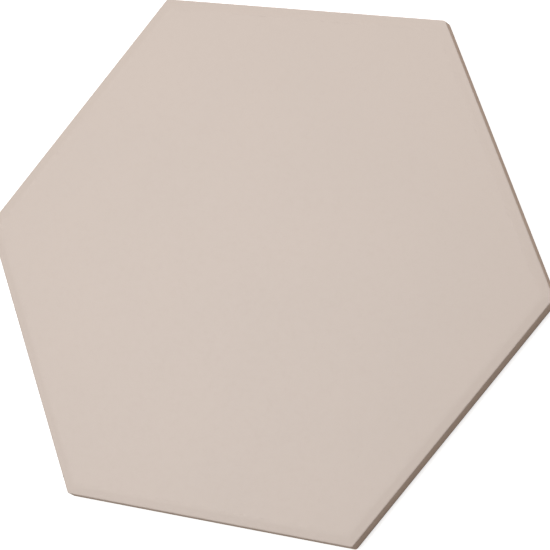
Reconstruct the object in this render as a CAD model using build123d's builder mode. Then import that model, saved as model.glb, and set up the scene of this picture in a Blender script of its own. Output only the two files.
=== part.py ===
from math import radians, tan
import os

from build123d import *

# Hexagonal floor and wall tile of pressed and fired porcelain, one piece.
# The glazed face looks up (+Z) and the keyed back rests on Z = 0.
# Corners point along +X and -X, flats face +Y and -Y. Millimetres.

# Outline and section
across_flats = 285.0
thickness = 8.5
corner_radius = 2.0
wall_draft = 6.0
back_edge_radius = 0.25

# The face falls away evenly towards its edge, and the arris there is just eased
bevel_width = 5.0
bevel_drop = 0.45
crease_radius = 25.0
arris_radius = 0.6

# Keying on the back: shallow pressed cells with ribs between them, inside a plain rim
back_rim = 12.0
cell_pitch = 20.0
cell_size = 16.0
cell_depth = 0.7
cells_along = 16
cells_across = 14

# The wall narrows upwards so that the pressed blank leaves its die
wall_height = thickness - bevel_drop
face_flats = across_flats - 2 * wall_height * tan(radians(wall_draft))
crease = face_flats / 2 - bevel_width
past_edge = 2 * bevel_width

# What the die leaves off along one side of the face, as a long bar of the bevel's section
with BuildPart() as bevel_bar:
    with BuildSketch(Plane.YZ):
        with BuildLine():
            Polyline(
                (crease - bevel_width, thickness),
                (crease, thickness),
                (crease + past_edge, thickness - past_edge * bevel_drop / bevel_width),
                (crease + past_edge, thickness + bevel_drop),
                (crease - bevel_width, thickness + bevel_drop),
                close=True,
            )
        make_face()
        fold = vertices().sort_by_distance((crease, thickness, 0))[0]
        fillet(fold, radius=crease_radius)
    extrude(amount=across_flats / 2, both=True)

with BuildPart() as tile:
    # Blank with its drafted wall and rounded corners
    with BuildSketch(Plane.XY):
        RegularPolygon(radius=across_flats / 2, side_count=6, major_radius=False)
    extrude(amount=thickness, taper=wall_draft)
    fillet(edges().group_by(Axis.Z)[1], radius=corner_radius)

    # The six sides of the face, mitred where they meet
    with PolarLocations(0, 6):
        add(bevel_bar.part, mode=Mode.SUBTRACT)

    # Eased arris between wall and bevel, and the rounded edge of the back
    arris = edges().filter_by_position(Axis.Z, wall_height - arris_radius, wall_height + arris_radius / 2)
    fillet(arris, radius=arris_radius)
    fillet(faces().sort_by(Axis.Z)[0].edges(), radius=back_edge_radius)

    # Keying cells, cut off by the rim
    with BuildSketch(Plane.XY):
        with GridLocations(cell_pitch, cell_pitch, cells_along, cells_across):
            Rectangle(cell_size, cell_size)
        RegularPolygon(
            radius=across_flats / 2 - back_rim,
            side_count=6,
            major_radius=False,
            mode=Mode.INTERSECT,
        )
    extrude(amount=cell_depth, mode=Mode.SUBTRACT)

tile.part.label = "tile"
os.makedirs("parts", exist_ok=True)
export_step(tile.part, "parts/tile.step")
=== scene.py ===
import math

import bmesh
import bpy
from mathutils import Matrix, Vector


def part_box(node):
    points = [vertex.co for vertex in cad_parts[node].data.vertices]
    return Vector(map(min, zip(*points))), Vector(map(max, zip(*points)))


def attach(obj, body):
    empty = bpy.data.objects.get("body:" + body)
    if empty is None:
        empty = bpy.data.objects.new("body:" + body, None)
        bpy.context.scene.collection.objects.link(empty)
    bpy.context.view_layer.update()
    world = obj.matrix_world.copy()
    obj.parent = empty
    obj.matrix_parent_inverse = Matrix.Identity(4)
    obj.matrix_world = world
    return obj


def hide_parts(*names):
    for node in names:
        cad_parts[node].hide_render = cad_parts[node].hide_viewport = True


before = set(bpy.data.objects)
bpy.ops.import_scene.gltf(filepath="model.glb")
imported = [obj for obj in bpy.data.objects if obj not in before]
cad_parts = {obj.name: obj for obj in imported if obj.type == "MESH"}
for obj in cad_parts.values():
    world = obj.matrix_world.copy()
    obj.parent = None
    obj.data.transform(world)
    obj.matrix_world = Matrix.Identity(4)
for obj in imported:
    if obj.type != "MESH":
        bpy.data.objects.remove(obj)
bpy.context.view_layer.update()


# The slab: one hexagon of dust-pressed porcelain, fired once, with small rounded corners.
# Its side wall leans in towards the face, as it left the die, and six shallow bevels fall
# away from the face to a crisp arris. The edge of the back is rounded over.
low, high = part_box("tile")
back_flats = high.y - low.y
thickness = high.z - low.z
corner_radius = 0.0020
corner_steps = 6
wall_draft = math.radians(6.0)
bevel_width = 0.0050
bevel_drop = 0.00045
crease_radius = 0.025
crease_steps = 6
arris_radius = 0.0006
arris_steps = 4
back_edge_radius = 0.00025
back_edge_steps = 4
bevel_slope = math.atan2(bevel_drop, bevel_width)
wall_height = thickness - bevel_drop
face_flats = back_flats - 2 * wall_height * math.tan(wall_draft)
sixth_turn = math.radians(60)


def in_fixed_order(mesh):
    """Makes a mesh anew in an order that depends only on where its corners are.

    Extruding leaves edges and faces in an order that changes from run to run, and the last
    digits and the diagonals of what is made after it would change along with it.
    """
    mesh.verts.index_update()
    ordered = sorted(mesh.verts, key=lambda corner: corner.co[:])
    ranks = {corner.index: rank for rank, corner in enumerate(ordered)}
    rings = []
    for side in mesh.faces:
        ring = [ranks[corner.index] for corner in side.verts]
        first = ring.index(min(ring))
        rings.append(ring[first:] + ring[:first])
    fresh = bmesh.new()
    corners = [fresh.verts.new(corner.co) for corner in ordered]
    for ring in sorted(rings):
        fresh.faces.new([corners[rank] for rank in ring])
    fresh.normal_update()
    mesh.free()
    return fresh


slab = bmesh.new()
bmesh.ops.create_circle(slab, cap_ends=True, segments=6, radius=back_flats / math.sqrt(3))
bmesh.ops.rotate(slab, verts=slab.verts, matrix=Matrix.Rotation(sixth_turn / 2, 3, "Z"))
bmesh.ops.bevel(
    slab,
    geom=slab.verts[:],
    offset=corner_radius * math.tan(sixth_turn / 2),
    offset_type="OFFSET",
    affect="VERTICES",
    segments=corner_steps,
    profile=0.5,
    material=-1,
)
pressed = bmesh.ops.extrude_face_region(slab, geom=slab.faces[:], use_keep_orig=True)["geom"]
face_corners = [part for part in pressed if isinstance(part, bmesh.types.BMVert)]
narrowing = 1 - 2 * thickness * math.tan(wall_draft) / back_flats
bmesh.ops.translate(slab, verts=face_corners, vec=(0, 0, thickness))
bmesh.ops.scale(slab, verts=face_corners, vec=(narrowing, narrowing, 1))
slab = in_fixed_order(slab)
for side in range(6):
    turn = Matrix.Rotation(side * sixth_turn, 3, "Z")
    cut = bmesh.ops.bisect_plane(
        slab,
        geom=slab.verts[:] + slab.edges[:] + slab.faces[:],
        dist=1e-7,
        plane_co=turn @ Vector((0, face_flats / 2 - bevel_width, thickness)),
        plane_no=turn @ Vector((0, math.sin(bevel_slope), math.cos(bevel_slope))),
        clear_outer=True,
    )["geom_cut"]
    rim = [part for part in cut if isinstance(part, bmesh.types.BMEdge)]
    bmesh.ops.holes_fill(slab, edges=rim, sides=0)
bmesh.ops.recalc_face_normals(slab, faces=slab.faces[:])


def round_over(mesh, edges, radius, steps):
    """Rounds the edges to a radius, each by the angle that its two faces turn through."""
    turn = max(edge.calc_face_angle() for edge in edges)
    bmesh.ops.bevel(
        mesh,
        geom=edges,
        offset=radius * math.tan(turn / 2),
        offset_type="OFFSET",
        affect="EDGES",
        segments=steps,
        profile=0.5,
        material=-1,
    )


def lies_at(edge, height):
    """Whether both ends of an edge are at one height."""
    return all(abs(corner.co.z - height) < 1e-6 for corner in edge.verts)


def is_arris(edge):
    """Whether an edge has the bevel on one side and the wall on the other."""
    lifts = [side.normal.z for side in edge.link_faces]
    return min(lifts) < 0.5 < max(lifts)


round_over(slab, [edge for edge in slab.edges if lies_at(edge, thickness)], crease_radius, crease_steps)
round_over(slab, [edge for edge in slab.edges if is_arris(edge)], arris_radius, arris_steps)
round_over(slab, [edge for edge in slab.edges if lies_at(edge, 0)], back_edge_radius, back_edge_steps)


# The key: shallow square cells pressed into the back, with ribs between them, inside a rim.
# The die's lattice is cut off by the rim, so the cells beside it are only parts of squares.
back_rim = 0.012
cell_pitch = 0.020
cell_size = 0.016
cell_depth = 0.0007
rim_narrowing = 1 - 2 * back_rim / back_flats

back = min(slab.faces, key=lambda side: side.calc_center_median().z)
bmesh.ops.inset_region(slab, faces=[back], thickness=0, depth=0)
bmesh.ops.scale(slab, verts=back.verts[:], vec=(rim_narrowing, rim_narrowing, 1))
lattice = [back]
for axis, reach in ((0, high.x), (1, high.y)):
    line = -math.ceil(reach / cell_pitch) * cell_pitch
    while line < reach:
        for rib_side in (line + (cell_pitch - cell_size) / 2, line + (cell_pitch + cell_size) / 2):
            # Once each and in a fixed order, so that every run builds the same mesh
            edges = dict.fromkeys(edge for side in lattice for edge in side.edges)
            corners = dict.fromkeys(corner for side in lattice for corner in side.verts)
            made = bmesh.ops.bisect_plane(
                slab,
                geom=list(corners) + list(edges) + lattice,
                dist=1e-7,
                plane_co=Vector((rib_side, rib_side, 0)),
                plane_no=Vector((1 - axis, axis, 0)),
            )["geom"]
            lattice = [part for part in made if isinstance(part, bmesh.types.BMFace)]
        line += cell_pitch


def in_cell(place):
    """Whether a coordinate lies between two ribs."""
    return abs(place / cell_pitch % 1 - 0.5) < cell_size / cell_pitch / 2


cells = [
    side
    for side in lattice
    if in_cell(side.calc_center_median().x) and in_cell(side.calc_center_median().y)
]
pushed = bmesh.ops.extrude_face_region(slab, geom=cells)["geom"]
floor_corners = [part for part in pushed if isinstance(part, bmesh.types.BMVert)]
bmesh.ops.translate(slab, verts=floor_corners, vec=(0, 0, cell_depth))
bmesh.ops.delete(slab, geom=cells, context="FACES")
slab = in_fixed_order(slab)
bmesh.ops.recalc_face_normals(slab, faces=slab.faces[:])


# The tile as it left the kiln: glaze covers the face and rolls over the arris, and the wall
# and the back are bare body. Mitres, ribs and cells keep crisp edges, and what was rounded
# over is smooth.
glaze_slot = 0
body_slot = 1
level = 0.99
upright = 0.001


def is_face_side(side):
    """Whether a side of the mesh belongs to the flat face or its bevels."""
    return side.normal.z > level and side.calc_center_median().z > wall_height


for edge in slab.edges:
    face_sides = [side for side in edge.link_faces if is_face_side(side)]
    edge.smooth = len(face_sides) < 2 or edge.calc_face_angle() < bevel_slope / 2
for side in slab.faces:
    is_back = side.normal.z < -level
    is_cell_wall = abs(side.normal.z) < upright
    is_glazed = side.normal.z > 0.5 and side.calc_center_median().z > wall_height - arris_radius
    side.smooth = not (is_back or is_cell_wall)
    side.material_index = glaze_slot if is_glazed else body_slot

tile_mesh = bpy.data.meshes.new("tile_slab")
slab.to_mesh(tile_mesh)
slab.free()
tile = bpy.data.objects.new("tile_slab", tile_mesh)
bpy.context.scene.collection.objects.link(tile)
evened = tile.modifiers.new("evened_shading", "WEIGHTED_NORMAL")
evened.mode = "FACE_AREA"
evened.weight = 50
evened.keep_sharp = True
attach(tile, "root")
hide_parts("tile")


# The glaze: satin beige and even to the eye, with faint clouds, a fine mottle and a few
# pinholes. It was sprayed on before the firing. Over the arris it turns a little darker and
# warmer, along a wavy line.
light_beige = (0.633, 0.531, 0.466)
deep_beige = (0.622, 0.524, 0.461)
mottle_tone = (0.57, 0.47, 0.41)
dark_arris_tone = (0.46, 0.36, 0.29)
pinhole_tone = (0.30, 0.22, 0.17)
cloud_size = 0.07
mottle_size = 0.0025
fleck_size = 0.0004
pinhole_spacing = 0.007
pinhole_share = 0.1
wave_size = 0.006
wave_height = 0.0004
arris_tone_start = wall_height + 0.00030
arris_tone_end = wall_height - 0.00020


def paint(name):
    """Starts a material and hands back what its recipe needs, with the place on the object."""
    material = bpy.data.materials.new(name)
    material.use_nodes = True
    nodes = material.node_tree.nodes
    place = nodes.new("ShaderNodeTexCoord").outputs["Object"]
    return material, nodes, material.node_tree.links, place


def grain(nodes, links, place, size, detail):
    """Noise whose features are about this size in metres."""
    noise = nodes.new("ShaderNodeTexNoise")
    noise.inputs["Scale"].default_value = 1 / size
    noise.inputs["Detail"].default_value = detail
    links.new(place, noise.inputs["Vector"])
    return noise.outputs["Fac"]


def spread(nodes, links, value, source, target):
    """Maps a value from one range onto another and holds it at the ends."""
    ramp = nodes.new("ShaderNodeMapRange")
    ramp.inputs["From Min"].default_value, ramp.inputs["From Max"].default_value = source
    ramp.inputs["To Min"].default_value, ramp.inputs["To Max"].default_value = target
    links.new(value, ramp.inputs["Value"])
    return ramp.outputs["Result"]


def combine(nodes, links, kind, value, other, third=None):
    """One sum on a value; the others are a written number or another node's value."""
    step = nodes.new("ShaderNodeMath")
    step.operation = kind
    for socket, term in zip(step.inputs, (value, other, third)):
        if isinstance(term, bpy.types.NodeSocket):
            links.new(term, socket)
        elif term is not None:
            socket.default_value = term
    return step.outputs["Value"]


def blend(nodes, links, amount, under, over):
    """Lays a written colour over another colour by an amount."""
    mix = nodes.new("ShaderNodeMix")
    mix.data_type = "RGBA"
    links.new(amount, mix.inputs["Factor"])
    mix.inputs["B"].default_value = (*over, 1)
    if isinstance(under, bpy.types.NodeSocket):
        links.new(under, mix.inputs["A"])
    else:
        mix.inputs["A"].default_value = (*under, 1)
    return mix.outputs["Result"]


def relief(nodes, links, value, height, beneath=None):
    """Raises the surface by a value, up to a height in metres, over another relief."""
    bump = nodes.new("ShaderNodeBump")
    bump.inputs["Distance"].default_value = height
    links.new(value, bump.inputs["Height"])
    if beneath is not None:
        links.new(beneath, bump.inputs["Normal"])
    return bump.outputs["Normal"]


glaze, nodes, links, place = paint("satin_glaze")
spot = nodes.new("ShaderNodeSeparateXYZ")
links.new(place, spot.inputs["Vector"])
clouds = grain(nodes, links, place, cloud_size, 2)
mottle = grain(nodes, links, place, mottle_size, 3)
flecks = grain(nodes, links, place, fleck_size, 2)

pores = nodes.new("ShaderNodeTexVoronoi")
pores.inputs["Scale"].default_value = 1 / pinhole_spacing
links.new(place, pores.inputs["Vector"])
lot = nodes.new("ShaderNodeSeparateColor")
links.new(pores.outputs["Color"], lot.inputs["Color"])
is_open = spread(nodes, links, lot.outputs["Red"], (1 - pinhole_share, 1.01 - pinhole_share), (0, 1))
hole = spread(nodes, links, pores.outputs["Distance"], (0.015, 0.03), (1, 0))
pinhole = combine(nodes, links, "MULTIPLY", is_open, hole)
around_pinholes = combine(nodes, links, "SUBTRACT", 1.0, pinhole)

# Over the arris the glaze colour turns darker and warmer the lower it lies, along a wavy line.
wave = grain(nodes, links, place, wave_size, 3)
arris_tone_line = combine(nodes, links, "MULTIPLY_ADD", wave, wave_height, spot.outputs["Z"])

cloudy = spread(nodes, links, clouds, (0.3, 0.7), (0, 1))
mottled = spread(nodes, links, mottle, (0.55, 0.75), (0, 0.1))
flecked = spread(nodes, links, flecks, (0.5, 0.7), (0, 0.3))
# How far the colour has turned towards the darker, warmer arris tone.
toward_arris_tone = spread(nodes, links, arris_tone_line, (arris_tone_start, arris_tone_end), (0, 0.12))
pitted = combine(nodes, links, "MULTIPLY", pinhole, 0.3)
tone = blend(nodes, links, cloudy, light_beige, deep_beige)
tone = blend(nodes, links, mottled, tone, mottle_tone)
tone = blend(nodes, links, flecked, tone, mottle_tone)
tone = blend(nodes, links, toward_arris_tone, tone, dark_arris_tone)
tone = blend(nodes, links, pitted, tone, pinhole_tone)

surface = relief(nodes, links, mottle, 0.0000015)
surface = relief(nodes, links, flecks, 0.000002, surface)
surface = relief(nodes, links, around_pinholes, 0.00004, surface)
shader = nodes["Principled BSDF"]
links.new(tone, shader.inputs["Base Color"])
links.new(spread(nodes, links, mottle, (0.3, 0.7), (0.43, 0.47)), shader.inputs["Roughness"])
links.new(surface, shader.inputs["Normal"])
tile_mesh.materials.append(glaze)


# The body: warm brown fired clay on the wall and the back, dull and slightly sandy. The wall
# keeps upright marks from the die, and the ribs of the back a thin, worn white kiln wash.
deep_clay = (0.49, 0.357, 0.273)
pale_clay = (0.562, 0.415, 0.321)
patch_tone = (0.455, 0.33, 0.255)
mark_tone = (0.56, 0.415, 0.325)
wash_tone = (0.68, 0.64, 0.59)
sand_size = 0.0008
patch_size = 0.015
powder_size = 0.004
mark_size = 0.0012
mark_stretch = 0.05

body, nodes, links, place = paint("fired_body")
spot = nodes.new("ShaderNodeSeparateXYZ")
links.new(place, spot.inputs["Vector"])
sand = grain(nodes, links, place, sand_size, 3)
patches = grain(nodes, links, place, patch_size, 3)
powder = grain(nodes, links, place, powder_size, 8)

stretched = nodes.new("ShaderNodeMapping")
stretched.inputs["Scale"].default_value = (1, 1, mark_stretch)
links.new(place, stretched.inputs["Vector"])
marks = grain(nodes, links, stretched.outputs["Vector"], mark_size, 2)

on_ribs = spread(nodes, links, spot.outputs["Z"], (0.00004, 0.00016), (1, 0))
worn = spread(nodes, links, powder, (0.3, 0.7), (0.15, 0.75))

sandy = spread(nodes, links, sand, (0.35, 0.65), (0, 1))
patchy = spread(nodes, links, patches, (0.4, 0.7), (0, 0.4))
marked = spread(nodes, links, marks, (0.5, 0.75), (0, 0.3))
washed = combine(nodes, links, "MULTIPLY", on_ribs, worn)
tone = blend(nodes, links, sandy, deep_clay, pale_clay)
tone = blend(nodes, links, patchy, tone, patch_tone)
tone = blend(nodes, links, marked, tone, mark_tone)
tone = blend(nodes, links, washed, tone, wash_tone)

surface = relief(nodes, links, marks, 0.00002)
surface = relief(nodes, links, sand, 0.00003, surface)
shader = nodes["Principled BSDF"]
links.new(tone, shader.inputs["Base Color"])
links.new(spread(nodes, links, sand, (0.3, 0.7), (0.74, 0.88)), shader.inputs["Roughness"])
links.new(surface, shader.inputs["Normal"])
tile_mesh.materials.append(body)


# The floor: a plain pale board, wide enough to fill every view, a hair below the tile's back.
# It shows white to the camera, more so where the lamps no longer reach it, and keeps the
# soft shadow beside the tile.
floor_reach = 6.0
floor_gap = 0.0001
board_tone = (0.8, 0.8, 0.8)
lift_near_tile = 0.65
lift_far_off = 0.8

floor_mesh = bmesh.new()
bmesh.ops.create_grid(floor_mesh, x_segments=1, y_segments=1, size=floor_reach)
floor_data = bpy.data.meshes.new("floor")
floor_mesh.to_mesh(floor_data)
floor_mesh.free()
floor = bpy.data.objects.new("floor", floor_data)
bpy.context.scene.collection.objects.link(floor)
floor.location.z = -floor_gap

board, nodes, links, place = paint("pale_board")
shader = nodes["Principled BSDF"]
shader.inputs["Base Color"].default_value = (*board_tone, 1)
shader.inputs["Roughness"].default_value = 0.9
shader.inputs["Specular IOR Level"].default_value = 0.0
away = nodes.new("ShaderNodeVectorMath")
away.operation = "LENGTH"
links.new(place, away.inputs[0])
lift = spread(nodes, links, away.outputs["Value"], (0.3, 1.5), (lift_near_tile, lift_far_off))
seen = nodes.new("ShaderNodeLightPath")
glow = nodes.new("ShaderNodeEmission")
glow.inputs["Color"].default_value = (1, 1, 1, 1)
strength = combine(nodes, links, "MULTIPLY", seen.outputs["Is Camera Ray"], lift)
links.new(strength, glow.inputs["Strength"])
both = nodes.new("ShaderNodeAddShader")
links.new(shader.outputs["BSDF"], both.inputs[0])
links.new(glow.outputs["Emission"], both.inputs[1])
links.new(both.outputs["Shader"], nodes["Material Output"].inputs["Surface"])
floor_data.materials.append(board)


# The light: an even pale room with a broad softbox high above the left corner of the tile,
# and a weaker lamp lower down behind its far side that lifts the wall at the right.
room_strength = 0.265

room = bpy.data.worlds.new("room")
bpy.context.scene.world = room
room.use_nodes = True
room.node_tree.nodes["Background"].inputs["Color"].default_value = (1, 1, 1, 1)
room.node_tree.nodes["Background"].inputs["Strength"].default_value = room_strength


def hang_lamp(name, bearing, height, distance, width, depth, energy):
    """Hangs a flat lamp that shines at the tile, with its long side level."""
    lamp_data = bpy.data.lights.new(name, "AREA")
    lamp_data.shape = "RECTANGLE"
    lamp_data.size = width
    lamp_data.size_y = depth
    lamp_data.energy = energy
    lamp = bpy.data.objects.new(name, lamp_data)
    bpy.context.scene.collection.objects.link(lamp)
    swing = Matrix.Rotation(math.radians(bearing), 3, "Z")
    tilt = Matrix.Rotation(-math.radians(height), 3, "Y")
    lamp.location = swing @ tilt @ Vector((distance, 0, 0))
    lamp.rotation_euler = lamp.location.to_track_quat("Z", "Y").to_euler()


hang_lamp("softbox", bearing=180, height=68, distance=1.8, width=1.3, depth=0.9, energy=17.0)
hang_lamp("side_lamp", bearing=80, height=45, distance=2.0, width=0.9, depth=0.9, energy=14.5)


# The camera looks steeply down over the corner at +X and is turned about its own axis,
# so that the tile stands in the frame as in the photograph. Angles are about the tile.
camera_distance = 0.9055
camera_bearing = math.radians(-22.098)
camera_height = math.radians(68.338)
camera_roll = math.radians(-58.711)
camera_lens = 110.437
aim = Vector((0.0132, -0.00722, wall_height))

camera_data = bpy.data.cameras.new("camera")
camera_data.lens = camera_lens
camera = bpy.data.objects.new("camera", camera_data)
bpy.context.scene.collection.objects.link(camera)
bpy.context.scene.camera = camera
sight = Vector(
    (
        math.cos(camera_height) * math.cos(camera_bearing),
        math.cos(camera_height) * math.sin(camera_bearing),
        math.sin(camera_height),
    )
)
untwisted = sight.to_track_quat("Z", "Y").to_matrix()
camera.rotation_euler = (untwisted @ Matrix.Rotation(camera_roll, 3, "Z")).to_euler()
camera.location = aim + sight * camera_distance

bpy.context.scene.view_settings.view_transform = "Standard"
